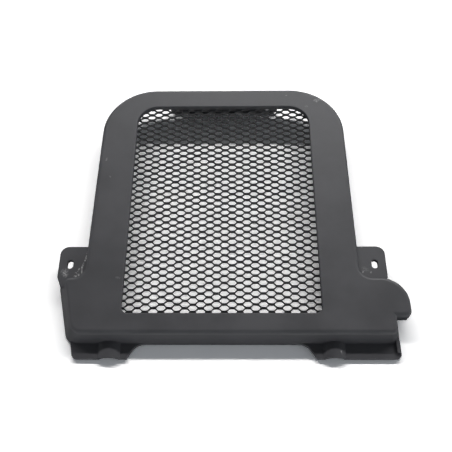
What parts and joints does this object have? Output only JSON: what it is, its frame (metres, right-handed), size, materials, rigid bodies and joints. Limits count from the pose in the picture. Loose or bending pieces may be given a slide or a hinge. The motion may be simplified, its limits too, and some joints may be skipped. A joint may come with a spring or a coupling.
{
  "type": "motorcycle radiator guard",
  "caption": "Shallow moulded radiator guard with side lugs, a bolt flange, arched feet and a hose shroud, framing an expanded-metal screen that keeps stones off the core.",
  "frame": {"origin": "middle of the guard's length and width, at the level of the lower edge of its bolt ears", "axes": "+X across the guard towards the hose shroud, +Y up the guard towards the bolt flange, +Z out of its front face"},
  "size_m": [0.271, 0.2472, 0.0325],
  "materials": {
    "moulded_black": "satin moulded black plastic, lightly scuffed",
    "coated_mesh": "black coated expanded metal"
  },
  "bodies": {
    "root": {"guard_frame": "moulded_black", "mesh_screen": "coated_mesh"}
  },
  "joints": []
}
